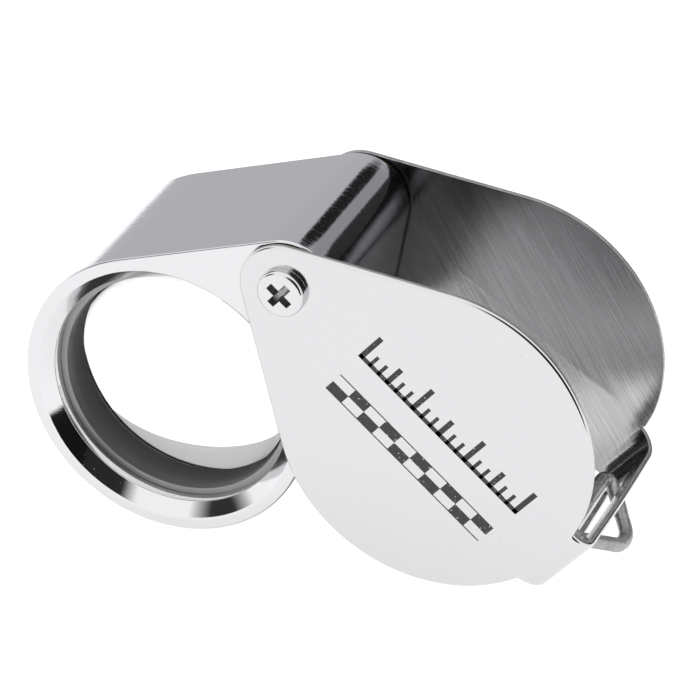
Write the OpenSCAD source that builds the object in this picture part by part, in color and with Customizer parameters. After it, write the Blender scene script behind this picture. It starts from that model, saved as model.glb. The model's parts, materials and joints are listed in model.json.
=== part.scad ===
// Folding hand lens: a cemented triplet in a swing-out body between the plates of a folded sheet cover.
// It stands as it does on a table when open, on the round ends of the cover and of the lens body.

/* [Cover] */
// Radius of the round end of the cover plates
cover_r = 14; // [13.5:0.1:14.5]
// Radius of the pivot end of the cover plates
cover_pivot_r = 4; // [3.4:0.1:5]
// Distance from the pivot to the middle of each round end
reach = 17.4; // [17:0.1:18]
// Thickness of the cover sheet
sheet = 0.6; // [0.5:0.05:0.7]
// Overall thickness over both cover plates
depth = 18.7; // [17.5:0.1:20]
// Room between the lanyard ring's bar and the inside of the end strap
strap_room = 0.5; // [0.4:0.05:1]
// Width of the end strap
strap_w = 6.6; // [6:0.1:8]
// Outer radius of the bend at the front plate
front_bend_r = 1.8; // [1.2:0.1:2.5]
// Outer radius of the bend at the rear plate
rear_bend_r = 2.6; // [1.2:0.1:3]
// Width of the slot in the end strap
slot_w = 3.2; // [3.1:0.1:3.6]
// How far the strap's lower edge is cut in where it meets the rear bend
waist_depth = 0.8; // [0.1:0.1:0.9]

/* [Lens body] */
// Radius of the round end of the lens body
body_r = 13; // [12.6:0.1:13.4]
// Radius of the pivot end of the lens body
body_pivot_r = 4.1; // [3.6:0.1:5]
// Outer radius of the bevel round each window
bevel_r = 11.9; // [11.6:0.1:12.2]
// Radius of the window itself
window_r = 10.8; // [10.6:0.05:11]
// Depth of the bevel
bevel_depth = 1.1; // [0.8:0.1:1.4]
// Depth of the lip that the lens cell rests on
lip_depth = 2.2; // [1.8:0.1:2.4]
// Radius of the bore that takes the lens cell
cell_bore_r = 11.4; // [11.2:0.05:11.5]

/* [Lens] */
// Radius of the three glass elements
lens_r = 10.5; // [10.3:0.05:10.5]
// Radius of curvature of the two outer surfaces
outer_curve_r = 17; // [16:0.5:22]
// Radius of curvature of the two cemented surfaces
cement_curve_r = 14; // [13.5:0.1:14.5]
// Thickness of each flint element on the axis
flint_t = 1.1; // [0.8:0.1:1.3]
// Thickness of the crown element on the axis
crown_t = 10.2; // [10:0.05:10.4]
// Clear radius of the cell in front of the glass
cell_window_r = 10.2; // [9.8:0.05:10.2]

/* [Pivot] */
// Radius of the screw head and of the post head
head_r = 2.1; // [2:0.1:2.6]
// Height of each head above its plate
head_h = 1; // [0.9:0.1:1.3]
// Radius of the post that the lens body turns on
post_r = 1.6; // [1.4:0.05:1.9]
// Radius of the screw's shank
shank_r = 1; // [0.8:0.05:1.1]
// Radius of the washers
washer_r = 3.6; // [3:0.1:3.9]
// Angle between the cover and the lens body as they stand
open_angle = 90; // [80:5:120]

/* [Lanyard ring] */
// Diameter of the ring's wire
wire_d = 1.3; // [1.1:0.05:1.4]
// Distance from the middle of the ring to the centre of each base corner
corner_y = 3.9; // [3.5:0.1:4.2]
// Radius of the ring's point, to the middle of the wire
tip_r = 2; // [1.5:0.1:2.2]
// Distance from the base bar to the end of the point, between wire centres
ring_height = 4.55; // [4.2:0.05:5]

/* [Hidden] */
$fn = 96;

// Clearances: beside a turning face, round a turning shaft, and between parts fixed to each other
face_gap = 0.02;
running_gap = 0.05;
seat_gap = 0.03;
// Extra length on a cutting tool, so that it passes right through
past = 1;

// Standing attitude: both round ends touch the ground
cover_lean = acos((cover_r - body_r) / (2 * reach * sin(open_angle / 2))) - open_angle / 2;
body_lean = cover_lean + open_angle;
pivot_height = reach * sin(cover_lean) + cover_r;

// Places along the pivot, from the front plate's outer face towards the rear
middle = depth / 2;
washer_t = 0.28;
body_front = sheet + washer_t + face_gap;
body_half = middle - body_front;

// Lens stack, as distances from the middle of the body
glass_half = crown_t / 2 + flint_t;
seat_sag = outer_curve_r - sqrt(outer_curve_r ^ 2 - cell_window_r ^ 2);
seat_half = glass_half - seat_sag + seat_gap;
lip_half = body_half - lip_depth;
retainer_half = lip_half - 0.65;
cell_r = cell_bore_r - seat_gap;
bevel_slope = (bevel_r - window_r) / bevel_depth;

// Spanner notches in the retaining ring
notch_w = 1.4;
notch_depth = 0.8;

// Cross recess and slot in the two pivot heads
head_top_r = 1.75;
recess_l = 2.5;
recess_w = 0.8;
recess_depth = 0.8;
shank_l = 9;

// Lanyard ring: a triangle of wire, with its base bar inside the strap and its point outside
wire_r = wire_d / 2;
bar_room = 0.15;
bar_x = reach + body_r + bar_room + wire_r;
corner_r = wire_r + 0.05;
corner_x = bar_x + corner_r;
tip_x = bar_x + ring_height - tip_r;
corner_to_tip = sqrt((tip_x - corner_x) ^ 2 + corner_y ^ 2);
leg_angle = atan2(corner_y, corner_x - tip_x) - acos((tip_r - corner_r) / corner_to_tip);
leg_l = sqrt(corner_to_tip ^ 2 - (tip_r - corner_r) ^ 2);
ring_split = 0.2;

// End strap, which the base bar clears, and whose slot the legs pass through but the base can't
strap_inside = bar_x + wire_r + strap_room;
strap_face = strap_inside + sheet;
strap_root = strap_face - 2 * max(front_bend_r, rear_bend_r) - past;
slot_half = corner_y + corner_r + wire_r - 0.04;

// Ends of the footprint, from the pivot
left_end = reach * cos(body_lean) - body_r;
right_end = max(reach * cos(cover_lean) + cover_r, (bar_x + ring_height) * cos(cover_lean) + wire_r);

// Stands the part on the ground, with its footprint round the origin
module stand() {
    translate([-(left_end + right_end) / 2, -middle, pivot_height]) children();
}

// The cover's frame: X runs from the pivot to the strap, Y from the front plate to the rear
module along_cover() {
    stand() rotate([0, cover_lean, 0]) children();
}

// The lens body's frame, at the middle of its depth: X runs from the pivot to the lens
module along_body() {
    stand() rotate([0, body_lean, 0]) translate([0, middle, 0]) children();
}

module along_lens() {
    along_body() translate([reach, 0, 0]) children();
}

// A cylinder on the Y axis, from y_start to y_end
module rod(r, y_start, y_end) {
    translate([0, y_start, 0]) rotate([-90, 0, 0]) cylinder(r = r, h = y_end - y_start);
}

// A cone on the Y axis, from y_start to y_end
module taper(r_start, r_end, y_start, y_end) {
    translate([0, y_start, 0]) rotate([-90, 0, 0]) cylinder(r1 = r_start, r2 = r_end, h = y_end - y_start);
}

module tube(r_outer, r_inner, y_start, y_end) {
    difference() {
        rod(r_outer, y_start, y_end);
        rod(r_inner, y_start - past, y_end + past);
    }
}

// A ball on the Y axis
module ball(r, y) {
    translate([0, y, 0]) rotate([-90, 0, 0]) sphere(r = r);
}

// Two round ends and the straight flanks that touch both, as a plate from y_start to y_end
module teardrop_plate(end_r, pivot_end_r, y_start, y_end) {
    flank = 90 + asin((end_r - pivot_end_r) / reach);
    side = [cos(flank), sin(flank)];
    under = [side[0], -side[1]];
    far = [reach, 0];
    union() {
        rod(pivot_end_r, y_start, y_end);
        translate([reach, 0, 0]) rod(end_r, y_start, y_end);
        translate([0, y_end, 0]) rotate([90, 0, 0]) linear_extrude(y_end - y_start)
            polygon([side * pivot_end_r, far + side * end_r, far + under * end_r, under * pivot_end_r]);
    }
}

// The strap and its two bends in section, drawn at a given distance in from the outer face
module strap_section(inset) {
    face = strap_face - inset;
    front_x = strap_face - front_bend_r;
    rear_x = strap_face - rear_bend_r;
    translate([front_x, front_bend_r]) circle(r = front_bend_r - inset);
    translate([rear_x, depth - rear_bend_r]) circle(r = rear_bend_r - inset);
    polygon([[strap_root, inset], [front_x, inset], [front_x, front_bend_r], [face, front_bend_r],
        [face, depth - rear_bend_r], [rear_x, depth - rear_bend_r], [rear_x, depth - inset],
        [strap_root, depth - inset]]);
}

module strap() {
    translate([0, 0, -strap_w / 2]) linear_extrude(strap_w) difference() {
        strap_section(0);
        strap_section(sheet);
    }
}

// The strap's lower edge runs in from the front bend to the rear one
module waist_cut() {
    low = -strap_w / 2;
    translate([strap_inside - past, 0, 0]) rotate([90, 0, 90]) linear_extrude(sheet + 2 * past)
        polygon([[front_bend_r, low - past], [depth - rear_bend_r, low - past],
            [depth - rear_bend_r, low + waist_depth], [front_bend_r, low]]);
}

// Front plate, strap and rear plate, folded from one sheet
module cover() {
    color("gainsboro") along_cover() difference() {
        union() {
            teardrop_plate(cover_r, cover_pivot_r, 0, sheet);
            teardrop_plate(cover_r, cover_pivot_r, depth - sheet, depth);
            strap();
        }
        rod(shank_r + running_gap, -past, middle);
        rod(post_r + running_gap, middle, depth + past);
        translate([strap_inside - past, middle - slot_half, -slot_w / 2])
            cube([sheet + 2 * past, 2 * slot_half, slot_w]);
        waist_cut();
    }
}

// Bevel cut into one face of the body, whose face is at y = -body_half before mirroring
module window_bevel() {
    rise = past * bevel_slope;
    taper(bevel_r + rise, window_r, -body_half - past, -body_half + bevel_depth);
}

module lens_body() {
    color("silver") along_body() difference() {
        teardrop_plate(body_r, body_pivot_r, -body_half, body_half);
        translate([reach, 0, 0]) {
            rod(window_r, -body_half - past, body_half + past);
            rod(cell_bore_r, -lip_half, body_half + past);
            window_bevel();
            mirror([0, 1, 0]) window_bevel();
        }
        rod(post_r + running_gap, -body_half - past, body_half + past);
    }
}

// Tube that holds the glass, with a narrower window in front of it
module lens_cell() {
    front = -lip_half + seat_gap;
    color("dimgray") along_lens() difference() {
        rod(cell_r, front, retainer_half - seat_gap);
        rod(cell_window_r, front - past, retainer_half + past);
        rod(lens_r + seat_gap, -seat_half, retainer_half + past);
    }
}

// Meniscus element in front of the crown
module flint_glass() {
    difference() {
        intersection() {
            rod(lens_r, -glass_half - past, 0);
            ball(outer_curve_r, outer_curve_r - glass_half);
        }
        ball(cement_curve_r, cement_curve_r - crown_t / 2);
    }
}

module front_flint_lens() {
    color("azure", 0.4) along_lens() flint_glass();
}

module crown_lens() {
    color("azure", 0.4) along_lens() intersection() {
        rod(lens_r, -crown_t, crown_t);
        ball(cement_curve_r, cement_curve_r - crown_t / 2);
        ball(cement_curve_r, crown_t / 2 - cement_curve_r);
    }
}

module rear_flint_lens() {
    color("azure", 0.4) along_lens() mirror([0, 1, 0]) flint_glass();
}

// Ring between the glass and the retaining ring
module lens_spacer() {
    color("dimgray") along_lens() tube(lens_r, cell_window_r, seat_half, retainer_half - seat_gap);
}

// Threaded ring that carries on the body's rear bevel, with two notches for a spanner
module lens_retaining_ring() {
    color("silver") along_lens() difference() {
        rod(cell_r, retainer_half, body_half);
        rod(cell_window_r, retainer_half - past, body_half + past);
        rod(window_r, lip_half, body_half + past);
        mirror([0, 1, 0]) window_bevel();
        translate([-body_r, body_half - bevel_depth - notch_depth, -notch_w / 2])
            cube([2 * body_r, body_half, notch_w]);
    }
}

// Head of either pivot fastener, standing out towards -Y from y = 0
module pivot_head() {
    edge = head_h / 2;
    rod(head_r, -edge, 0);
    taper(head_top_r, head_r, -head_h, -edge);
}

// A straight cut across a head, as deep as the driver goes
module driver_cut(length) {
    translate([-length / 2, -head_h - past, -recess_w / 2]) cube([length, recess_depth + past, recess_w]);
}

module pivot_screw() {
    color("silver") along_cover() difference() {
        union() {
            pivot_head();
            rod(shank_r, 0, shank_l);
        }
        for (turn = [0, 90]) rotate([0, turn, 0]) driver_cut(recess_l);
    }
}

// Threaded post that the lens body turns on, with its head against the rear plate
module pivot_post() {
    color("silver") along_cover() difference() {
        union() {
            rod(post_r, sheet + face_gap, depth);
            translate([0, depth, 0]) mirror([0, 1, 0]) pivot_head();
        }
        rod(shank_r + seat_gap, 0, shank_l + past);
        translate([0, depth, 0]) mirror([0, 1, 0]) driver_cut(3 * head_r);
    }
}

module washer(y_start) {
    color("darkgray") along_cover() tube(washer_r, post_r + running_gap, y_start, y_start + washer_t);
}

module front_washer() {
    washer(sheet);
}

module rear_washer() {
    washer(depth - sheet - washer_t);
}

// A bend in the ring's wire, between two directions in the ring's plane
module wire_bend(radius, from_angle, to_angle) {
    rotate([0, 0, from_angle]) rotate_extrude(angle = to_angle - from_angle) translate([radius, 0])
        circle(r = wire_r);
}

// One side of the ring, from the split in its base bar to the point
module ring_side() {
    translate([bar_x, 0, 0]) rod(wire_r, ring_split / 2, corner_y);
    translate([corner_x, corner_y, 0]) wire_bend(corner_r, leg_angle, 180);
    translate([corner_x, corner_y, 0]) rotate([0, 0, leg_angle]) translate([corner_r, 0, 0])
        rod(wire_r, -leg_l, 0);
    translate([tip_x, 0, 0]) wire_bend(tip_r, 0, leg_angle);
}

module lanyard_ring() {
    color("gray") along_cover() translate([0, middle, 0]) {
        ring_side();
        mirror([0, 1, 0]) ring_side();
    }
}

cover();
lens_body();
lens_cell();
front_flint_lens();
crown_lens();
rear_flint_lens();
lens_spacer();
lens_retaining_ring();
pivot_screw();
pivot_post();
front_washer();
rear_washer();
lanyard_ring();
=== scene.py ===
import json
import math
import bmesh
import bpy
from mathutils import Euler, Matrix, Vector, noise


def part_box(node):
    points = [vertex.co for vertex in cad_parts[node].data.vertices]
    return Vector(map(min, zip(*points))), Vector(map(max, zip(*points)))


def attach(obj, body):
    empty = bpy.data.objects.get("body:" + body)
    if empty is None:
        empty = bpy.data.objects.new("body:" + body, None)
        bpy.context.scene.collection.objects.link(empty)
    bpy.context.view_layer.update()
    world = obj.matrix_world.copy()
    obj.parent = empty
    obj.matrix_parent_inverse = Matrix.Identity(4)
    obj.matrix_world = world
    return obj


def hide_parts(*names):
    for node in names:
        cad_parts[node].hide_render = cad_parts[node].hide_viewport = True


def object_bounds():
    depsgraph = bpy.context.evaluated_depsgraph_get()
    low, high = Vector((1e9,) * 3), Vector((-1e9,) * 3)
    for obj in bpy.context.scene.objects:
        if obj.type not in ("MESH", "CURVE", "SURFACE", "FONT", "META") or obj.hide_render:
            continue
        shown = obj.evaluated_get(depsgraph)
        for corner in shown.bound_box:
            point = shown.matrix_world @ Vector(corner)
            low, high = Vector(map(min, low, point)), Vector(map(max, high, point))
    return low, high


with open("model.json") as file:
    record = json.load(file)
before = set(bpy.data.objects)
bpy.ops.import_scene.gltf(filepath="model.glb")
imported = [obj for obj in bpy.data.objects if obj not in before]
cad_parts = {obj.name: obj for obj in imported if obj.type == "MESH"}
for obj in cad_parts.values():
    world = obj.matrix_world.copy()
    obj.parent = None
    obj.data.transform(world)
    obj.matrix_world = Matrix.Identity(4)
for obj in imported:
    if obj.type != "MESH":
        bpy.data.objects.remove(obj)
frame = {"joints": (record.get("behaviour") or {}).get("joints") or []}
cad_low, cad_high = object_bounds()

MM = 0.001

# ---- places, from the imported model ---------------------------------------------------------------

JOINTS = {joint["name"]: joint for joint in frame["joints"]}
PIVOT = Vector(JOINTS["lens_swing"]["pos_m"])
RING_AXIS = Vector(JOINTS["ring_swing"]["pos_m"])
LENS_MIDDLE = (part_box("crown_lens")[0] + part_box("crown_lens")[1]) / 2


def place_along(target):
    """A frame in millimetres on the pivot, with X towards the target and Y to the rear."""
    x = (target - PIVOT).normalized()
    y = Vector((0, 1, 0))
    turn = Matrix((x, y, x.cross(y))).transposed().to_4x4()
    return Matrix.Translation(PIVOT) @ turn @ Matrix.Scale(MM, 4)


COVER_PLACE = place_along(RING_AXIS)
BODY_PLACE = place_along(LENS_MIDDLE)
REACH = (LENS_MIDDLE - PIVOT).length / MM
LENS_PLACE = BODY_PLACE @ Matrix.Translation((REACH, 0, 0))
BAR_X = (RING_AXIS - PIVOT).length / MM
DEPTH_HALF = (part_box("cover")[1].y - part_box("cover")[0].y) / 2 / MM
BODY_HALF = (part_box("lens_body")[1].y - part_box("lens_body")[0].y) / 2 / MM

# ---- sizes in millimetres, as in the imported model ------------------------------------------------

COVER_R = 14
COVER_PIVOT_R = 4
SHEET = 0.6
STRAP_HALF = 3.3
STRAP_FACE = 32.95
FRONT_BEND_R = 1.8
REAR_BEND_R = 2.6
SLOT_HALF_W = 1.6
SLOT_HALF_L = 5.2
WAIST = 0.8

BODY_R = 13
BODY_PIVOT_R = 4.1
BEVEL_R = 11.9
WINDOW_R = 10.8
BEVEL_DEPTH = 1.1
LIP_DEPTH = 2.2
CELL_BORE_R = 11.4
BODY_EDGE_R = 0.22
POST_BORE_R = 1.65

LENS_R = 10.5
OUTER_CURVE_R = 17
CEMENT_CURVE_R = 14
CROWN_HALF = 5.1
GLASS_HALF = 6.2
CELL_WINDOW_R = 10.2
SEAT_GAP = 0.03
NOTCH_HALF_W = 0.7
NOTCH_DEPTH = 0.8

HEAD_R = 2.1
HEAD_TOP_R = 1.75
HEAD_H = 1.0
CROSS_HALF_L = 1.25
CROSS_HALF_W = 0.4
CROSS_DEPTH = 0.72
CROSS_TAPER = 0.2
DRIVER_SLOT_HALF_W = 0.375
DRIVER_SLOT_DEPTH = 0.8
POST_R = 1.6
SHANK_R = 1.0
SHANK_L = 9
WASHER_R = 3.6
WASHER_T = 0.28
HOLE_ROOM = 0.05

WIRE_R = 0.65
CORNER_Y = 3.9
CORNER_R = 0.7
TIP_R = 2.0
RING_HEIGHT = 4.55
RING_SPLIT = 0.2

LIP_HALF = BODY_HALF - LIP_DEPTH
LIP_T = 0.65
RETAINER_HALF = LIP_HALF - LIP_T
BEVEL_SLOPE = (BEVEL_R - WINDOW_R) / BEVEL_DEPTH
CELL_R = CELL_BORE_R - SEAT_GAP
SEAT_HALF = GLASS_HALF - (OUTER_CURVE_R - math.sqrt(OUTER_CURVE_R ** 2 - CELL_WINDOW_R ** 2)) + SEAT_GAP


# ---- materials -----------------------------------------------------------------------------------

class Nodes:
    """The node tree of a material or of the world, with the few kinds of node that are used below."""

    def __init__(self, owner):
        owner.use_nodes = True
        self.owner = owner
        self.tree = owner.node_tree
        self.shader = self.tree.nodes.get("Principled BSDF") or self.tree.nodes["Background"]

    def add(self, kind, **settings):
        """A new node of a kind, with its settings."""
        node = self.tree.nodes.new(kind)
        for name, value in settings.items():
            setattr(node, name, value)
        return node

    def join(self, source, target):
        """Links an output to an input."""
        self.tree.links.new(source, target)

    def turned(self, lean):
        """Object coordinates with X turned down by an angle in degrees, about Y."""
        coordinates = self.add("ShaderNodeTexCoord")
        turn = self.add("ShaderNodeVectorRotate", rotation_type="Y_AXIS")
        turn.inputs["Angle"].default_value = math.radians(-lean)
        self.join(coordinates.outputs["Object"], turn.inputs["Vector"])
        return turn.outputs["Vector"]

    def grain(self, size, lean=0, detail=2, roughness=0.5):
        """Noise whose features measure size = (x, y, z) millimetres, with X turned down by lean."""
        stretch = self.add("ShaderNodeVectorMath", operation="DIVIDE")
        self.join(self.turned(lean), stretch.inputs[0])
        stretch.inputs[1].default_value = [length * MM for length in size]
        texture = self.add("ShaderNodeTexNoise")
        texture.inputs["Scale"].default_value = 1
        texture.inputs["Detail"].default_value = detail
        texture.inputs["Roughness"].default_value = roughness
        self.join(stretch.outputs["Vector"], texture.inputs["Vector"])
        return texture.outputs["Fac"]

    def between(self, value, from_low, from_high, to_low, to_high):
        """Maps a value from one range to another, and holds it at the ends."""
        span = self.add("ShaderNodeMapRange")
        self.join(value, span.inputs["Value"])
        for name, number in zip(("From Min", "From Max", "To Min", "To Max"),
                                (from_low, from_high, to_low, to_high)):
            span.inputs[name].default_value = number
        return span.outputs["Result"]

    def sum(self, *values):
        """All the values added together."""
        total = values[0]
        for value in values[1:]:
            node = self.add("ShaderNodeMath", operation="ADD")
            self.join(total, node.inputs[0])
            self.join(value, node.inputs[1])
            total = node.outputs["Value"]
        return total

    def most(self, first, second):
        """The larger of two values."""
        node = self.add("ShaderNodeMath", operation="MAXIMUM")
        self.join(first, node.inputs[0])
        self.join(second, node.inputs[1])
        return node.outputs["Value"]

    def toward(self, direction, half_angle, soft):
        """1 within half_angle degrees of a direction in the world, and 0 outside."""
        coordinates = self.add("ShaderNodeTexCoord")
        product = self.add("ShaderNodeVectorMath", operation="DOT_PRODUCT")
        self.join(coordinates.outputs["Generated"], product.inputs[0])
        product.inputs[1].default_value = Vector(direction).normalized()
        return self.between(product.outputs["Value"], math.cos(math.radians(half_angle + soft)),
                            math.cos(math.radians(half_angle - soft)), 0, 1)

    def hollow_painted_shade(self, reach, closed_at, open_at, least):
        """Painted shade for hollows, from an ambient-occlusion node: 1 in the open, least deep in a hollow.
        It looks as far as reach, in millimetres.
        """
        cavity = self.add("ShaderNodeAmbientOcclusion", samples=12)
        cavity.inputs["Distance"].default_value = reach * MM
        return self.between(cavity.outputs["AO"], closed_at, open_at, least, 1)

    def shaded(self, color, share):
        """A colour dimmed by a share from 0 to 1."""
        node = self.add("ShaderNodeVectorMath", operation="SCALE")
        self.join(color, node.inputs[0])
        self.join(share, node.inputs["Scale"])
        return node.outputs["Vector"]

    def mix(self, share, first, second):
        """Goes from the first value to the second, which is a plain number."""
        node = self.add("ShaderNodeMix", data_type="FLOAT")
        self.join(share, node.inputs["Factor"])
        self.join(first, node.inputs["A"])
        node.inputs["B"].default_value = second
        return node.outputs["Result"]

    def tint(self, share, low, high):
        """A colour between two greys or colours."""
        mix = self.add("ShaderNodeMix", data_type="RGBA")
        self.join(share, mix.inputs["Factor"])
        mix.inputs["A"].default_value = (*low, 1)
        mix.inputs["B"].default_value = (*high, 1)
        return mix.outputs["Result"]

    def bump(self, height, depth):
        """Raises the surface by height, which runs from 0 to 1, over a depth in millimetres."""
        node = self.add("ShaderNodeBump")
        node.inputs["Strength"].default_value = 1
        node.inputs["Distance"].default_value = depth * MM
        self.join(height, node.inputs["Height"])
        self.join(node.outputs["Normal"], self.shader.inputs["Normal"])

    def set(self, **values):
        """Sets the shader's own sockets, named with underscores for spaces."""
        for name, value in values.items():
            self.shader.inputs[name.replace("_", " ")].default_value = value

    def feed(self, name, value):
        """Joins a value to one of the shader's sockets."""
        self.join(value, self.shader.inputs[name])


def grey(level, blue=1.015):
    """A grey of a brightness, a little bluer than neutral."""
    return (level, level, level * blue)


def plated_metal(name, level, roughness, wave, lean=0):
    """Bright plating: faint waves, fine scratches along X and a few pits."""
    nodes = Nodes(bpy.data.materials.new(name))
    nodes.set(Metallic=1.0)
    scratches = nodes.grain((5, 5, 0.05), lean, detail=3)
    waves = nodes.grain((3, 3, 3), detail=1)
    pits = nodes.between(nodes.grain((0.16, 0.16, 0.16), detail=1), 0.79, 0.83, 0, 1)
    nodes.feed("Base Color", nodes.tint(pits, grey(level), grey(level * 0.45)))
    worn = nodes.between(scratches, 0.35, 0.75, roughness * 0.7, roughness * 1.4)
    nodes.feed("Roughness", nodes.sum(worn, nodes.between(pits, 0, 1, 0, 0.25)))
    nodes.bump(nodes.sum(nodes.between(waves, 0, 1, 0, wave),
                         nodes.between(scratches, 0.4, 0.7, 0, 0.02),
                         nodes.between(pits, 0, 1, 0, -0.3)), 0.02)
    return nodes.owner


def satin_metal(name, level, roughness):
    """Satin plating on the side of the lens body, with the polishing marks running round it. Its colour
    carries painted shade, darker in hollows.
    """
    nodes = Nodes(bpy.data.materials.new(name))
    nodes.set(Metallic=1.0)
    marks = nodes.grain((4, 0.07, 4), detail=3)
    broad = nodes.grain((6, 0.5, 6), detail=2)
    waves = nodes.grain((2.5, 3, 2.5), detail=1)
    specks = nodes.between(nodes.grain((0.3, 0.12, 0.3), detail=1), 0.775, 0.8, 0, 1)
    # painted shade: the plating's colour is dimmed in hollows, down to 0.08 of itself
    nodes.feed("Base Color", nodes.shaded(nodes.tint(specks, grey(level, 1.07), grey(0.12)),
                                          nodes.hollow_painted_shade(25, 0.6, 0.85, 0.08)))
    nodes.feed("Roughness", nodes.between(marks, 0.3, 0.7, roughness * 0.75, roughness * 1.3))
    nodes.bump(nodes.sum(nodes.between(marks, 0.3, 0.7, 0, 0.1),
                         nodes.between(broad, 0.3, 0.7, 0, 0.25),
                         nodes.between(waves, 0, 1, 0, 0.6),
                         nodes.between(specks, 0, 1, 0, -0.3)), 0.02)
    return nodes.owner


def brushed_metal(name, level, roughness, lean):
    """The coarse brushed inside of the cover, with lines along one direction, and painted shade that dims
    its colour in hollows.
    """
    nodes = Nodes(bpy.data.materials.new(name))
    nodes.set(Metallic=1.0)
    lines = nodes.grain((7, 4, 0.14), lean, detail=4, roughness=0.7)
    broad = nodes.grain((14, 4, 0.9), lean, detail=2)
    metal = nodes.tint(nodes.between(lines, 0.32, 0.68, 0, 1), grey(level * 0.68), grey(level))
    # painted shade: the colour is dimmed in hollows, down to 0.4 of itself
    nodes.feed("Base Color", nodes.shaded(metal, nodes.hollow_painted_shade(8, 0.3, 0.85, 0.4)))
    both = nodes.sum(lines, broad)
    nodes.feed("Roughness", nodes.between(both, 0.7, 1.3, roughness * 0.75, roughness * 1.25))
    nodes.bump(nodes.sum(nodes.between(lines, 0.3, 0.7, 0, 0.16),
                         nodes.between(broad, 0.3, 0.7, 0, 0.2)), 0.02)
    return nodes.owner


def dull_metal(name, level, roughness, grain_size, relief):
    """Cut edges, drawn wire and other unpolished metal."""
    nodes = Nodes(bpy.data.materials.new(name))
    nodes.set(Metallic=1.0)
    lumps = nodes.grain((grain_size,) * 3, detail=4, roughness=0.6)
    stains = nodes.grain((grain_size * 6,) * 3, detail=3)
    nodes.feed("Base Color", nodes.tint(nodes.between(nodes.sum(lumps, stains), 0.75, 1.25, 0, 1),
                                        grey(level * 0.7), grey(level * 1.1)))
    nodes.feed("Roughness", nodes.between(lumps, 0.3, 0.7, roughness * 0.8, roughness * 1.2))
    nodes.bump(lumps, relief)
    return nodes.owner


def blackened_metal(name, level, roughness):
    """The lens cell's dull dark anodised surface, with turning marks round it."""
    nodes = Nodes(bpy.data.materials.new(name))
    nodes.set(Metallic=0.55)
    marks = nodes.grain((3, 0.06, 3), detail=3)
    dust = nodes.between(nodes.grain((0.12, 0.12, 0.12), detail=1), 0.74, 0.78, 0, 1)
    nodes.feed("Base Color", nodes.tint(dust, grey(level), grey(0.5)))
    nodes.feed("Roughness", nodes.between(marks, 0.3, 0.7, roughness * 0.85, roughness * 1.15))
    nodes.bump(marks, 0.01)
    return nodes.owner


def lens_glass(name):
    """Clear polished glass with faint smears."""
    nodes = Nodes(bpy.data.materials.new(name))
    nodes.set(Transmission_Weight=1.0, IOR=1.45, Base_Color=(0.985, 0.99, 0.99, 1))
    smears = nodes.grain((6, 6, 2.5), 30, detail=4)
    nodes.feed("Roughness", nodes.between(smears, 0.52, 0.8, 0, 0.04))
    return nodes.owner


def cemented_glass(name):
    """A cemented face, which light passes straight through."""
    nodes = Nodes(bpy.data.materials.new(name))
    nodes.set(Alpha=0.0, Roughness=0.0)
    film = nodes.grain((5, 5, 5))
    nodes.feed("Base Color", nodes.tint(film, grey(0.96), grey(1.0)))
    return nodes.owner


def ground_glass(name):
    """The lens elements' ground and greyed edges."""
    nodes = Nodes(bpy.data.materials.new(name))
    nodes.set(Metallic=0.0)
    frost = nodes.grain((0.08, 0.08, 0.08), detail=3)
    nodes.feed("Base Color", nodes.tint(frost, grey(0.6), grey(0.75)))
    nodes.feed("Roughness", nodes.between(frost, 0.3, 0.7, 0.45, 0.7))
    nodes.bump(frost, 0.01)
    return nodes.owner


def worn_ink(name):
    """Black printing ink with small chips, through which the plating shows."""
    nodes = Nodes(bpy.data.materials.new(name))
    chips = nodes.between(nodes.most(nodes.grain((0.3, 0.3, 0.12), 20, detail=3),
                                     nodes.grain((0.12, 0.12, 0.3), 70, detail=2)), 0.69, 0.71, 0, 1)
    nodes.feed("Base Color", nodes.tint(chips, grey(0.02), grey(0.85)))
    nodes.feed("Metallic", chips)
    nodes.feed("Roughness", nodes.between(nodes.grain((0.2, 0.2, 0.2)), 0.3, 0.7, 0.35, 0.55))
    nodes.bump(nodes.grain((0.1, 0.1, 0.1), detail=3), 0.004)
    return nodes.owner


def brass(name):
    """Rolled brass for the washers."""
    nodes = Nodes(bpy.data.materials.new(name))
    nodes.set(Metallic=1.0)
    rolling = nodes.grain((4, 4, 0.06), 15, detail=3)
    nodes.feed("Base Color", nodes.tint(rolling, (0.55, 0.4, 0.17), (0.78, 0.6, 0.3)))
    nodes.feed("Roughness", nodes.between(rolling, 0.3, 0.7, 0.22, 0.4))
    nodes.bump(rolling, 0.006)
    return nodes.owner


COVER_LEAN = math.degrees(math.atan2(PIVOT.z - RING_AXIS.z, RING_AXIS.x - PIVOT.x))
BRUSH_LEAN = COVER_LEAN + 18

# Numbers in the lists of materials of the cover, the lens body, the glass and the pivot's two heads
OUTSIDE, INSIDE, EDGE = range(3)
FACE, SIDE, BEVEL = range(3)
POLISHED, CEMENTED, GREYED = range(3)
RECESS = 1

COVER_OUTSIDE = plated_metal("cover_outside", 0.6, 0.1, 0.25, COVER_LEAN)
COVER_INSIDE = brushed_metal("cover_inside", 0.58, 0.15, BRUSH_LEAN)
CUT_EDGE = dull_metal("cut_edge", 0.45, 0.36, 0.12, 0.01)
BODY_FACE = plated_metal("body_face", 0.64, 0.12, 0.4)
BODY_SIDE = satin_metal("body_side", 0.62, 0.07)
BODY_BEVEL = plated_metal("body_bevel", 0.66, 0.07, 1.0)
CELL_METAL = blackened_metal("cell_metal", 0.16, 0.5)
CELL_FRONT = blackened_metal("cell_front", 0.3, 0.4)
GLASS = lens_glass("glass")
CEMENT = cemented_glass("cemented_face")
GROUND = ground_glass("ground_edge")
SCREW_METAL = plated_metal("screw_metal", 0.62, 0.14, 0.5)
SCREW_RECESS = dull_metal("screw_recess", 0.35, 0.34, 0.1, 0.02)
WIRE_METAL = dull_metal("wire_metal", 0.4, 0.38, 0.35, 0.06)
WASHER_BRASS = brass("washer_brass")
INK = worn_ink("ink")


# ---- mesh tools ----------------------------------------------------------------------------------

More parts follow.
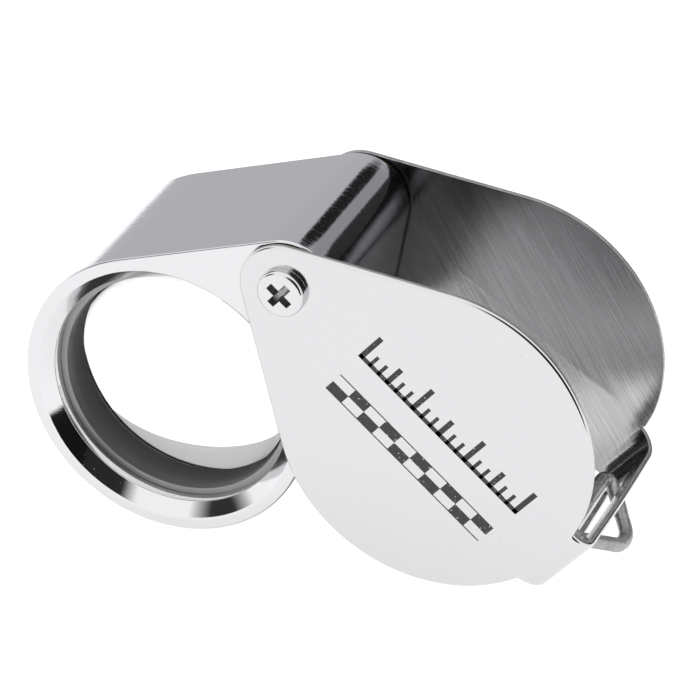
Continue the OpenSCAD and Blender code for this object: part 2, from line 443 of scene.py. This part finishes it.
def loft(mesh, loops, materials=None, closed=True):
    """Quads between matching loops of points. Each band takes its own material number."""
    rings = [[mesh.verts.new(point) for point in loop] for loop in loops]
    pairs = list(zip(rings, rings[1:]))
    if closed:
        pairs.append((rings[-1], rings[0]))
    for band, (first, second) in enumerate(pairs):
        for i in range(len(first)):
            j = (i + 1) % len(first)
            face = mesh.faces.new((first[i], first[j], second[j], second[i]))
            face.material_index = materials[band] if materials else 0
    return rings


def circle(r, y, steps=160):
    """Points on a circle about the Y axis."""
    return [Vector((r * math.cos(a), y, r * math.sin(a)))
            for a in (2 * math.pi * i / steps for i in range(steps))]


def lathe(mesh, profile, materials=None, steps=160):
    """Turns a closed profile of (radius, y) points about the Y axis. A radius of 0 is one point."""
    bands = list(zip(profile, profile[1:] + profile[:1]))
    rings = [[mesh.verts.new(point) for point in ([(0, y, 0)] if r == 0 else circle(r, y, steps))]
             for r, y in profile]
    for band in range(len(bands)):
        first = rings[band]
        second = rings[(band + 1) % len(rings)]
        if len(first) == 1 and len(second) == 1:
            continue
        for i in range(steps):
            j = (i + 1) % steps
            corners = [first[0]] if len(first) == 1 else [first[i], first[j]]
            corners += [second[0]] if len(second) == 1 else [second[j], second[i]]
            face = mesh.faces.new(corners)
            face.material_index = materials[band] if materials else 0


def rounded(points, radii, steps=4):
    """A closed profile with its corners rounded, each by its own radius. 0 leaves it sharp."""
    result = []
    for i, corner in enumerate(points):
        corner = Vector(corner)
        if not radii[i]:
            result.append(tuple(corner))
            continue
        before = (Vector(points[i - 1]) - corner).normalized()
        after = (Vector(points[(i + 1) % len(points)]) - corner).normalized()
        half_angle = before.angle(after) / 2
        back = radii[i] / math.tan(half_angle)
        centre = corner + (before + after).normalized() * (radii[i] / math.sin(half_angle))
        start = corner + before * back - centre
        turn = math.pi - 2 * half_angle
        sign = 1 if before.cross(after) < 0 else -1
        for step in range(steps + 1):
            a = sign * turn * step / steps
            spoke = Vector((start.x * math.cos(a) - start.y * math.sin(a),
                            start.x * math.sin(a) + start.y * math.cos(a)))
            result.append(tuple(centre + spoke))
    return result


def add_piece(name, mesh, place, body, nodes, materials, smooth_angle=35, weighted=False):
    """Makes a piece from a mesh in millimetres, puts it in place and lets it ride on its body."""
    bmesh.ops.recalc_face_normals(mesh, faces=mesh.faces)
    data = bpy.data.meshes.new(name)
    mesh.to_mesh(data)
    mesh.free()
    data.transform(place)
    for material in materials:
        data.materials.append(material)
    data.shade_smooth()
    data.set_sharp_from_angle(angle=math.radians(smooth_angle))
    piece = bpy.data.objects.new(name, data)
    bpy.context.scene.collection.objects.link(piece)
    if weighted:
        flat = piece.modifiers.new("flat_faces", "WEIGHTED_NORMAL")
        flat.keep_sharp = True
    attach(piece, body)
    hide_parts(*nodes)
    return piece


def cut(mesh, tool):
    """Takes the tool's shape out of a mesh. The new faces keep the tool's material number."""
    bmesh.ops.recalc_face_normals(mesh, faces=mesh.faces)
    bmesh.ops.recalc_face_normals(tool, faces=tool.faces)
    objects = []
    for name, source in (("cut_target", mesh), ("cut_tool", tool)):
        data = bpy.data.meshes.new(name)
        source.to_mesh(data)
        for _ in range(3):
            data.materials.append(None)
        piece = bpy.data.objects.new(name, data)
        bpy.context.scene.collection.objects.link(piece)
        objects.append(piece)
    target, cutter = objects
    boolean = target.modifiers.new("cut", "BOOLEAN")
    boolean.operation = "DIFFERENCE"
    boolean.solver = "EXACT"
    boolean.object = cutter
    view = bpy.context.evaluated_depsgraph_get()
    result = bmesh.new()
    result.from_mesh(target.evaluated_get(view).to_mesh())
    for piece in objects:
        bpy.data.objects.remove(piece)
    mesh.free()
    tool.free()
    return result


def box(mesh, low, high, taper=0.0, material=0):
    """A box whose top and bottom lie across Y. Its far end is smaller all round by taper."""
    rings = []
    for y, inset in ((low[1], 0), (high[1], taper)):
        xs = (low[0] + inset, high[0] - inset)
        zs = (low[2] + inset, high[2] - inset)
        rings.append([mesh.verts.new((x, y, z)) for x, z in
                      ((xs[0], zs[0]), (xs[1], zs[0]), (xs[1], zs[1]), (xs[0], zs[1]))])
    faces = [mesh.faces.new(rings[0]), mesh.faces.new(rings[1])]
    for i in range(4):
        j = (i + 1) % 4
        faces.append(mesh.faces.new((rings[0][i], rings[0][j], rings[1][j], rings[1][i])))
    for face in faces:
        face.material_index = material


# ---- cover: one folded sheet ---------------------------------------------------------------------

FRONT_BEND_X = STRAP_FACE - FRONT_BEND_R
REAR_BEND_X = STRAP_FACE - REAR_BEND_R
FRONT_BEND_L = FRONT_BEND_R * math.pi / 2
REAR_BEND_L = REAR_BEND_R * math.pi / 2
STRAP_L = 2 * DEPTH_HALF - FRONT_BEND_R - REAR_BEND_R
STRAP_START = FRONT_BEND_X + FRONT_BEND_L
STRAP_END = STRAP_START + STRAP_L
REAR_START = STRAP_END + REAR_BEND_L
STRAP_BOW = 0.1
NECK_FLARE = 0.45
REAR_FLARE = 0.3
RIM_ROUND = 0.3
BURR_ROUND = 0.08
REAR_HOLE_X = REAR_START + REAR_BEND_X
NEAR = 0.01


def fold(u, t, w):
    """Folds a point of the flat sheet: u along it, t across it, and w in from its outer face."""
    if u <= FRONT_BEND_X:
        x, y = u, w
    elif u <= STRAP_START:
        a = (u - FRONT_BEND_X) / FRONT_BEND_R
        r = FRONT_BEND_R - w
        x, y = FRONT_BEND_X + r * math.sin(a), FRONT_BEND_R - r * math.cos(a)
    elif u <= STRAP_END:
        x, y = STRAP_FACE - w, FRONT_BEND_R + u - STRAP_START
    elif u <= REAR_START:
        a = (u - STRAP_END) / REAR_BEND_R
        r = REAR_BEND_R - w
        x, y = REAR_BEND_X + r * math.cos(a), 2 * DEPTH_HALF - REAR_BEND_R + r * math.sin(a)
    else:
        x, y = REAR_BEND_X - (u - REAR_START), 2 * DEPTH_HALF - w
    x += STRAP_BOW * math.sin(math.pi * y / (2 * DEPTH_HALF)) ** 2
    return Vector((x, y - DEPTH_HALF, t))


def arc(centre_x, r, start, end, step=2.0):
    """Points on an arc about (centre_x, 0), by angles in degrees."""
    count = max(2, round(abs(end - start) / step))
    return [(centre_x + r * math.cos(math.radians(start + (end - start) * i / count)),
             r * math.sin(math.radians(start + (end - start) * i / count))) for i in range(count + 1)]


def plate_outline(neck_top, neck_low):
    """A cover plate's outline from its upper neck corner, round the pivot, to its lower one."""
    flank = 90 + math.degrees(math.asin((COVER_R - COVER_PIVOT_R) / REACH))
    upper = math.degrees(math.asin(neck_top / COVER_R))
    lower = math.degrees(math.asin(neck_low / COVER_R))
    return (arc(REACH, COVER_R, upper, flank) + arc(0, COVER_PIVOT_R, flank, 360 - flank, 4)
            + arc(REACH, COVER_R, -flank, -lower))


def add_plate(mesh, outline, bend_verts, to_u, hole_r):
    """A flat plate, as quads from its pivot hole to its outline. to_u turns x into a place on the sheet."""
    rim = [mesh.verts.new((to_u(x), t, 0)) for x, t in outline] + bend_verts
    hole = []
    for vert in rim:
        x = vert.co.x if to_u(0) == 0 else to_u(0) - vert.co.x
        a = math.atan2(vert.co.y, x)
        hole.append(mesh.verts.new((to_u(hole_r * math.cos(a)), hole_r * math.sin(a), 0)))
    for i in range(len(rim)):
        j = (i + 1) % len(rim)
        mesh.faces.new((rim[i], rim[j], hole[j], hole[i]))


def strap_rows():
    """Places along the sheet where the strap's rows of faces meet, with the slot's ends among them."""
    slot_start = STRAP_START + DEPTH_HALF - FRONT_BEND_R - SLOT_HALF_L
    rows = [FRONT_BEND_X + FRONT_BEND_L * i / 10 for i in range(10)]
    rows += [STRAP_START, slot_start]
    rows += [slot_start + 2 * SLOT_HALF_L * i / 8 for i in range(1, 9)]
    rows += [STRAP_END + REAR_BEND_L * i / 12 for i in range(13)]
    return rows, slot_start


def neck_half(u):
    """Half-width of the strap on its lower side. It flares at the front and is waisted near the rear."""
    flare = max(0.0, min(1.0, 1 - (u - FRONT_BEND_X) / FRONT_BEND_L))
    waist = max(0.0, min(1.0, (u - STRAP_START) / STRAP_L))
    fillet = max(0.0, min(1.0, (u - STRAP_END) / REAR_BEND_L))
    return STRAP_HALF + NECK_FLARE * flare ** 2 - WAIST * waist + (WAIST + REAR_FLARE) * fillet ** 2


def add_sheet(mesh):
    """The whole cover as flat faces without thickness: the strap round its slot, and both plates."""
    rows, slot_start = strap_rows()
    slot_end = slot_start + 2 * SLOT_HALF_L
    grid = [[mesh.verts.new((u, t, 0)) for t in (-neck_half(u), -SLOT_HALF_W, SLOT_HALF_W, STRAP_HALF)]
            for u in rows]
    for row in range(len(rows) - 1):
        in_slot = slot_start - NEAR < rows[row] < slot_end - NEAR
        for column in range(3):
            if column == 1 and in_slot:
                continue
            mesh.faces.new((grid[row][column], grid[row][column + 1],
                            grid[row + 1][column + 1], grid[row + 1][column]))
    front = plate_outline(STRAP_HALF, STRAP_HALF + NECK_FLARE + 0.1)
    rear = plate_outline(STRAP_HALF + REAR_FLARE, STRAP_HALF + REAR_FLARE)
    add_plate(mesh, front, grid[0], lambda x: x, SHANK_R + HOLE_ROOM)
    add_plate(mesh, rear, grid[-1], lambda x: REAR_HOLE_X - x, POST_R + HOLE_ROOM)


def on_outer_rim(edge):
    """True for an open edge of the flat sheet that isn't round a pivot hole."""
    return len(edge.link_faces) == 1 and all(
        math.hypot(vert.co.x - hole_x, vert.co.y) > 2 for vert in edge.verts for hole_x in (0, REAR_HOLE_X))


def thicken(mesh):
    """Gives the flat sheet its thickness. Returns the inner point behind each outer point."""
    outer_faces = list(mesh.faces)
    inner = {vert: mesh.verts.new((vert.co.x, vert.co.y, SHEET)) for vert in list(mesh.verts)}
    for face in outer_faces:
        back = mesh.faces.new([inner[v] for v in reversed(face.verts)])
        back.material_index = INSIDE
    for edge in [e for e in mesh.edges if len(e.link_faces) == 1 and e.verts[0] in inner]:
        a, b = edge.verts
        side = mesh.faces.new((a, b, inner[b], inner[a]))
        side.material_index = EDGE
    bmesh.ops.recalc_face_normals(mesh, faces=mesh.faces)
    return inner


def round_edges(mesh, edges, width, segments, material):
    """Rounds those of the edges that are still there."""
    bmesh.ops.bevel(mesh, geom=[edge for edge in edges if edge.is_valid], offset=width,
                    segments=segments, profile=0.5, affect="EDGES", material=material)


def make_cover():
    """The folded sheet, made flat, rounded along its rim and then folded."""
    mesh = bmesh.new()
    add_sheet(mesh)
    rim_pairs = [frozenset(edge.verts) for edge in mesh.edges if on_outer_rim(edge)]
    inner = thicken(mesh)
    outer_rim = [mesh.edges.get(tuple(pair)) for pair in rim_pairs]
    inner_rim = [mesh.edges.get([inner[v] for v in pair]) for pair in rim_pairs]
    round_edges(mesh, outer_rim, RIM_ROUND, 5, OUTSIDE)
    round_edges(mesh, inner_rim, BURR_ROUND, 2, EDGE)
    for vert in mesh.verts:
        vert.co = fold(*vert.co)
    add_piece("folded_cover", mesh, COVER_PLACE, "cover", ["cover"],
              [COVER_OUTSIDE, COVER_INSIDE, CUT_EDGE], weighted=True)


INK_T = 0.012
SCALE_START = 8.3
SCALE_LENGTH = 18
TICK_BASE = 0.75
BASE_LINE_T = 0.42
BLOCK_COUNT = 10
BLOCK_L = SCALE_LENGTH / BLOCK_COUNT
BLOCK_H = 0.95
BLOCK_TOP = -1.95
THIN_LINE_T = 0.1


def make_scale():
    """A generic printed scale on the front plate: ticks above a row of alternate blocks."""
    mesh = bmesh.new()

    def mark(x, length, z, height):
        """A printed rectangle, from its lower left corner."""
        box(mesh, (x, -DEPTH_HALF - INK_T, z), (x + length, -DEPTH_HALF + INK_T, z + height))

    mark(SCALE_START - 0.2, SCALE_LENGTH + 0.4, TICK_BASE, BASE_LINE_T)
    for i in range(SCALE_LENGTH + 1):
        height = 2.9 if i % 6 == 0 else 2.1 if i % 3 == 0 else 1.35
        width = 0.48 if i % 3 == 0 else 0.32
        mark(SCALE_START + i - width / 2, width, TICK_BASE, height)
    for i in range(BLOCK_COUNT):
        top = BLOCK_TOP if i % 2 else BLOCK_TOP - BLOCK_H
        mark(SCALE_START + i * BLOCK_L, BLOCK_L, top - BLOCK_H, BLOCK_H)
    for z in (BLOCK_TOP - 2 * BLOCK_H - THIN_LINE_T, BLOCK_TOP):
        mark(SCALE_START, SCALE_LENGTH, z, THIN_LINE_T)
    add_piece("printed_scale", mesh, COVER_PLACE, "cover", [], [INK])


# ---- lens body and what it holds -----------------------------------------------------------------

def body_outline(inset, y):
    """The lens body's outline, drawn in by inset, from the middle of its round end and right round."""
    flank = 90 + math.degrees(math.asin((BODY_R - BODY_PIVOT_R) / REACH))

    def turn(centre_x, r, start, end, steps):
        """Points on an arc, by angles in degrees."""
        angles = [math.radians(start + (end - start) * i / steps) for i in range(steps + 1)]
        return [Vector((centre_x + r * math.cos(a), y, r * math.sin(a))) for a in angles]

    round_end = turn(REACH, BODY_R - inset, 0, flank, 60)
    pivot_end = turn(0, BODY_PIVOT_R - inset, flank, 180, 24)
    straight = [round_end[-1].lerp(pivot_end[0], i / 20) for i in range(1, 20)]
    half = round_end + straight + pivot_end
    return half + [Vector((point.x, y, -point.z)) for point in reversed(half[1:-1])]


def window_loop(r, y):
    """A circle about the lens with a point for each point of the body's outline."""
    loop = []
    for point in body_outline(0, y):
        a = math.atan2(point.z, point.x - REACH)
        loop.append(Vector((REACH + r * math.cos(a), y, r * math.sin(a))))
    return loop


def edge_loops(side, steps=5):
    """The rounded edge between the body's face and its side, from the face outwards."""
    r = BODY_EDGE_R
    loops = []
    for i in range(steps + 1):
        a = math.pi / 2 * i / steps
        loops.append(body_outline(r * (1 - math.sin(a)), side * (BODY_HALF - r * (1 - math.cos(a)))))
    return loops


def make_lens_body():
    """The body as loops from the lip behind the front window, out round its sides, to the rear bore."""
    mesh = bmesh.new()
    half = BODY_HALF
    crest = 0.06
    bevel_foot = -half + BEVEL_DEPTH
    front_window = [(CELL_BORE_R, -LIP_HALF), (WINDOW_R + crest, -LIP_HALF), (WINDOW_R, -LIP_HALF - crest),
                    (WINDOW_R, bevel_foot + crest), (WINDOW_R + crest * 0.7, bevel_foot - crest),
                    (BEVEL_R - crest, -half + crest), (BEVEL_R + crest, -half)]
    rear_window = [(BEVEL_R + crest, half), (BEVEL_R - crest, half - crest),
                   (CELL_BORE_R, half - (BEVEL_R - CELL_BORE_R) / BEVEL_SLOPE)]
    straight = 2 * half - 2 * BODY_EDGE_R
    outside = edge_loops(-1)
    outside += [body_outline(0, -half + BODY_EDGE_R + straight * i / 6) for i in range(1, 6)]
    outside += reversed(edge_loops(1))
    loops = [window_loop(r, y) for r, y in front_window]
    loops += outside
    loops += [window_loop(r, y) for r, y in rear_window]
    materials = [BEVEL] * 6 + [FACE] * 3 + [SIDE] * (len(outside) - 5) + [FACE] * 3
    materials += [BEVEL] * (len(loops) - len(materials))
    loft(mesh, loops, materials)
    bore = bmesh.new()
    ends = (-half - 1, half + 1)
    lathe(bore, [(0, ends[0]), (POST_BORE_R, ends[0]), (POST_BORE_R, ends[1]), (0, ends[1])], steps=64)
    mesh = cut(mesh, bore)
    add_piece("swing_body", mesh, BODY_PLACE, "lens", ["lens_body"],
              [BODY_FACE, BODY_SIDE, BODY_BEVEL], weighted=True)


def make_turned(name, node, profile, radii, materials, notch=None, bright_to=None):
    """A turned ring of the lens stack. A notch is a box to cut right across it. The faces in front of
    bright_to take the second material."""
    mesh = bmesh.new()
    lathe(mesh, rounded(profile, radii))
    for face in mesh.faces:
        if bright_to is not None and face.calc_center_median().y < bright_to:
            face.material_index = 1
    if notch:
        tool = bmesh.new()
        box(tool, *notch)
        mesh = cut(mesh, tool)
    add_piece(name, mesh, LENS_PLACE, "lens", [node], materials, weighted=True)


def make_lens_rings():
    """The dark tube that seats the glass, the spacer behind the glass and the ring that holds them."""
    front = -LIP_HALF + SEAT_GAP
    back = RETAINER_HALF - SEAT_GAP
    bore = LENS_R + SEAT_GAP
    make_turned("cell_tube", "lens_cell",
                [(CELL_R, front), (CELL_R, back), (bore, back), (bore, -SEAT_HALF),
                 (CELL_WINDOW_R, -SEAT_HALF), (CELL_WINDOW_R, front)],
                [0.1, 0.1, 0.1, 0, 0.04, 0.12], [CELL_METAL, CELL_FRONT], bright_to=front + 0.06)
    make_turned("spacer_ring", "lens_spacer",
                [(LENS_R, SEAT_HALF), (LENS_R, back), (CELL_WINDOW_R, back), (CELL_WINDOW_R, SEAT_HALF)],
                [0.05] * 4, [CELL_METAL])
    bevel_foot = BODY_HALF - BEVEL_DEPTH
    outer_top = BODY_HALF - (BEVEL_R - CELL_R) / BEVEL_SLOPE
    make_turned("retaining_ring", "lens_retaining_ring",
                [(CELL_R, RETAINER_HALF), (CELL_R, outer_top), (WINDOW_R, bevel_foot),
                 (WINDOW_R, LIP_HALF), (CELL_WINDOW_R, LIP_HALF), (CELL_WINDOW_R, RETAINER_HALF)],
                [0.08, 0.05, 0.06, 0.05, 0.06, 0.06], [BODY_BEVEL],
                ((-BODY_R, bevel_foot - NOTCH_DEPTH, -NOTCH_HALF_W), (BODY_R, BODY_HALF + 1, NOTCH_HALF_W)))


def cap(curve_r, vertex_y, side, steps=36):
    """A spherical face from its middle to the lens's edge. side is 1 where it bulges to the front."""
    top = math.asin(LENS_R / curve_r)
    angles = [top * i / steps for i in range(steps + 1)]
    return [(curve_r * math.sin(a), vertex_y + side * curve_r * (1 - math.cos(a))) for a in angles]


def make_glass(name, node, front_face, rear_face, front_material, rear_material):
    """One element of the triplet, between two spherical faces."""
    mesh = bmesh.new()
    profile = front_face + list(reversed(rear_face))
    materials = [front_material] * (len(front_face) - 1) + [GREYED] + [rear_material] * len(rear_face)
    lathe(mesh, profile, materials, steps=192)
    add_piece(name, mesh, LENS_PLACE, "lens", [node], [GLASS, CEMENT, GROUND])


def make_lens_glass():
    """The cemented triplet. Only its outermost two faces are polished against air."""
    front_outer = cap(OUTER_CURVE_R, -GLASS_HALF, 1)
    front_cement = cap(CEMENT_CURVE_R, -CROWN_HALF, 1)
    rear_cement = cap(CEMENT_CURVE_R, CROWN_HALF, -1)
    rear_outer = cap(OUTER_CURVE_R, GLASS_HALF, -1)
    make_glass("front_element", "front_flint_lens", front_outer, front_cement, POLISHED, CEMENTED)
    make_glass("middle_element", "crown_lens", front_cement, rear_cement, CEMENTED, CEMENTED)
    make_glass("rear_element", "rear_flint_lens", rear_cement, rear_outer, CEMENTED, POLISHED)


# ---- pivot ---------------------------------------------------------------------------------------

HEAD_EDGE_R = 0.035


def pan_head():
    """Profile of a low domed head, from its middle out to its foot, standing towards -Y from y = 0."""
    dome = [(0, -HEAD_H), (HEAD_TOP_R / 2, -HEAD_H + 0.01), (HEAD_TOP_R - 0.1, -HEAD_H + 0.05)]
    skirt_h = 0.45
    for i in range(7):
        a = math.pi / 2 * i / 6
        r = HEAD_TOP_R + (HEAD_R - HEAD_TOP_R) * math.sin(a)
        dome.append((r, -skirt_h - (HEAD_H - skirt_h - 0.08) * math.cos(a)))
    return dome + [(HEAD_R, -0.04), (HEAD_R - 0.04, 0)]


def make_screw():
    """The front screw, with a cross recess in its head."""
    mesh = bmesh.new()
    y = -DEPTH_HALF
    head = [(r, y + up) for r, up in pan_head()]
    lathe(mesh, head + [(SHANK_R, y), (SHANK_R, y + SHANK_L), (0, y + SHANK_L)], steps=96)
    top = y - HEAD_H
    for half_x, half_z in ((CROSS_HALF_L, CROSS_HALF_W), (CROSS_HALF_W, CROSS_HALF_L)):
        tool = bmesh.new()
        box(tool, (-half_x, top - 0.3, -half_z), (half_x, top + CROSS_DEPTH, half_z), CROSS_TAPER, RECESS)
        mesh = cut(mesh, tool)
    piece = add_piece("pan_head_screw", mesh, COVER_PLACE, "cover", ["pivot_screw"],
                      [SCREW_METAL, SCREW_RECESS])
    soften(piece)


def soften(piece):
    """Rounds every sharp edge of a small turned part."""
    bevel = piece.modifiers.new("rounded_edges", "BEVEL")
    bevel.width = HEAD_EDGE_R * MM
    bevel.segments = 2
    bevel.limit_method = "ANGLE"
    bevel.angle_limit = math.radians(40)


def make_post():
    """The rear post, bored for the screw and slotted across its head."""
    mesh = bmesh.new()
    y = DEPTH_HALF
    head = [(r, y - up) for r, up in pan_head()]
    start = -DEPTH_HALF + SHEET + 0.02
    bore_r = SHANK_R + SEAT_GAP
    bore_end = -DEPTH_HALF + SHANK_L + 1
    profile = head + [(POST_R, y), (POST_R, start), (bore_r, start), (bore_r, bore_end), (0, bore_end)]
    lathe(mesh, profile, steps=96)
    tool = bmesh.new()
    top = y + HEAD_H
    box(tool, (-3, top - DRIVER_SLOT_DEPTH, -DRIVER_SLOT_HALF_W), (3, top + 0.5, DRIVER_SLOT_HALF_W),
        material=RECESS)
    mesh = cut(mesh, tool)
    piece = add_piece("slotted_post", mesh, COVER_PLACE, "cover", ["pivot_post"],
                      [SCREW_METAL, SCREW_RECESS])
    soften(piece)


def make_washers():
    """A thin washer each side of the lens body."""
    inner = POST_R + HOLE_ROOM
    for name, node, start in (("front_spring_washer", "front_washer", -DEPTH_HALF + SHEET),
                              ("rear_spring_washer", "rear_washer", DEPTH_HALF - SHEET - WASHER_T)):
        mesh = bmesh.new()
        end = start + WASHER_T
        profile = [(inner, start), (WASHER_R, start), (WASHER_R, end), (inner, end)]
        lathe(mesh, rounded(profile, [0.05] * 4), steps=96)
        add_piece(name, mesh, COVER_PLACE, "cover", [node], [WASHER_BRASS])


# ---- lanyard ring --------------------------------------------------------------------------------

def ring_path():
    """The middle of the ring's wire from one end of its split bar to the other, in the (x, y) plane."""
    corner = Vector((BAR_X + CORNER_R, CORNER_Y))
    tip = Vector((BAR_X + RING_HEIGHT - TIP_R, 0))
    gap = (tip - corner).length
    leg_angle = math.atan2(CORNER_Y, corner.x - tip.x) - math.acos((TIP_R - CORNER_R) / gap)
    side = [Vector((BAR_X, RING_SPLIT / 2 + (CORNER_Y - RING_SPLIT / 2) * i / 8)) for i in range(8)]
    for i in range(13):
        a = math.pi + (leg_angle - math.pi) * i / 12
        side.append(corner + CORNER_R * Vector((math.cos(a), math.sin(a))))
    leg_end = tip + TIP_R * Vector((math.cos(leg_angle), math.sin(leg_angle)))
    leg_start = side[-1]
    side += [leg_start.lerp(leg_end, i / 8) for i in range(1, 8)]
    for i in range(13):
        a = leg_angle * (1 - i / 12)
        side.append(tip + TIP_R * Vector((math.cos(a), math.sin(a))))
    return side + [Vector((p.x, -p.y)) for p in reversed(side[:-1])]


WIRE_SIDES = 28
WIRE_LOSS = 0.03


def wire_loop(middle, along):
    """A slightly lumpy loop round the wire, at a point of its path and square to its direction."""
    centre = Vector((middle.x, middle.y, 0))
    outward = Vector((along.y, -along.x)).normalized()
    loop = []
    for i in range(WIRE_SIDES):
        a = 2 * math.pi * i / WIRE_SIDES
        spoke = Vector((outward.x * math.cos(a), outward.y * math.cos(a), math.sin(a)))
        lump = noise.noise((centre + spoke * WIRE_R) * 1.1) * 0.05 + noise.noise(centre * 0.5) * 0.03
        loop.append(centre + spoke * (WIRE_R - WIRE_LOSS + lump))
    return loop


def make_ring():
    """The lanyard ring, with its two ends chamfered where its bar is split."""
    mesh = bmesh.new()
    path = ring_path()
    loops = [wire_loop(point, path[min(i + 1, len(path) - 1)] - path[max(i - 1, 0)])
             for i, point in enumerate(path)]
    tips = []
    for end, inward in ((0, 1), (-1, -1)):
        middle = Vector((path[end].x, path[end].y, 0))
        tips.append([middle + (point - middle) * 0.8 for point in loops[end]])
        loops[end] = [point + Vector((0, 0.08 * inward, 0)) for point in loops[end]]
    made = loft(mesh, [tips[0]] + loops + [tips[1]], closed=False)
    mesh.faces.new(made[0])
    mesh.faces.new(made[-1])
    add_piece("wire_ring", mesh, COVER_PLACE, "ring", ["lanyard_ring"], [WIRE_METAL])


# ---- studio --------------------------------------------------------------------------------------

FLOOR_GLOW = 0.97
FLOOR_ALBEDO = 0.4
FLOOR_SIZE = 0.6
FLAG_AZIMUTH = -45
FLAG_DISTANCE = 0.1
FLAG_W = 0.072
FLAG_H = 0.06
FRONT_LEVEL = 1.3
REAR_LEVEL = 0.62
# Dark flags and bright cards round the part: direction, half-angle and softness in degrees, brightness
CARDS = (
    ((0.36, 0.80, 0.48), 12, 4, 0.38),
    ((0.073, 0.799, 0.596), 10, 0.6, 0.02),
    ((0.6, 0.8, 0.05), 19.6, 1.0, 0.04),
    ((0.55, -0.73, 0.38), 34, 5, 0.03),
    ((-0.80, -0.38, 0.46), 15, 7, 0.04),
)


def stage_sheet(name, size, material_name, **look):
    """A flat square for the studio, in metres."""
    mesh = bmesh.new()
    bmesh.ops.create_grid(mesh, x_segments=1, y_segments=1, size=size / 2)
    data = bpy.data.meshes.new(name)
    mesh.to_mesh(data)
    mesh.free()
    nodes = Nodes(bpy.data.materials.new(material_name))
    nodes.set(**look)
    data.materials.append(nodes.owner)
    sheet = bpy.data.objects.new(name, data)
    bpy.context.scene.collection.objects.link(sheet)
    return sheet


def make_floor():
    """A plain pale table top."""
    floor = stage_sheet("floor", FLOOR_SIZE, "floor_paper", Roughness=0.9, Specular_IOR_Level=0.1,
                        Base_Color=(*grey(FLOOR_ALBEDO), 1), Emission_Color=(1, 1, 1, 1),
                        Emission_Strength=FLOOR_GLOW)


def make_flag():
    """A black card at the front right, which only the plating's reflections show."""
    flag = stage_sheet("flag", 1, "flag_cloth", Roughness=1.0, Specular_IOR_Level=0.0,
                       Base_Color=(0.01, 0.01, 0.01, 1))
    azimuth = math.radians(FLAG_AZIMUTH)
    foot = Vector((math.cos(azimuth), math.sin(azimuth), 0)) * FLAG_DISTANCE
    turn = Euler((math.pi / 2, 0, azimuth + math.pi / 2)).to_matrix().to_4x4()
    size = Matrix.Diagonal((FLAG_W, FLAG_H, 1, 1))
    flag.matrix_world = Matrix.Translation(foot + Vector((0, 0, FLAG_H / 2))) @ turn @ size
    flag.visible_camera = False
    flag.visible_diffuse = False
    flag.visible_transmission = False
    flag.visible_shadow = False


def make_world():
    """Soft light all round, greyer to the rear, with a few dark flags for the plating to reflect."""
    world = bpy.data.worlds.new("studio")
    bpy.context.scene.world = world
    nodes = Nodes(world)
    level = nodes.between(nodes.toward((0, 1, 0), 62, 8), 0, 1, FRONT_LEVEL, REAR_LEVEL)
    for direction, half_angle, soft, brightness in CARDS:
        level = nodes.mix(nodes.toward(direction, half_angle, soft), level, brightness)
    camera_ray = nodes.add("ShaderNodeLightPath").outputs["Is Camera Ray"]
    nodes.feed("Strength", nodes.mix(camera_ray, level, 1.0))
    nodes.shader.inputs["Color"].default_value = (1, 1, 1, 1)


CAMERA_AZIMUTH = 23.18
CAMERA_ELEVATION = 29.63
CAMERA_ROLL = -2.0
CAMERA_DISTANCE = 354.6
CAMERA_LENS = 214.9
CAMERA_AIM = (0.5, 0.4, 0.3)


def make_camera():
    """Looks at the middle of the part from a little above and to the right."""
    azimuth = math.radians(CAMERA_AZIMUTH)
    elevation = math.radians(CAMERA_ELEVATION)
    roll = math.radians(CAMERA_ROLL)
    aim = (cad_low + cad_high) / 2 + Vector(CAMERA_AIM) * MM
    turn = Euler((math.pi / 2 - elevation, 0, azimuth)).to_matrix()
    back = turn.col[2]
    data = bpy.data.cameras.new("camera")
    data.lens = CAMERA_LENS
    data.sensor_width = 36
    data.clip_start = 0.01
    camera = bpy.data.objects.new("camera", data)
    camera.matrix_world = (turn @ Euler((0, 0, roll)).to_matrix()).to_4x4()
    camera.location = aim + back * CAMERA_DISTANCE * MM
    bpy.context.scene.collection.objects.link(camera)
    bpy.context.scene.camera = camera


bpy.context.scene.view_settings.view_transform = "Standard"
make_camera()
make_world()
make_floor()
make_flag()
make_cover()
make_scale()
make_lens_body()
make_lens_rings()
make_lens_glass()
make_screw()
make_post()
make_washers()
make_ring()
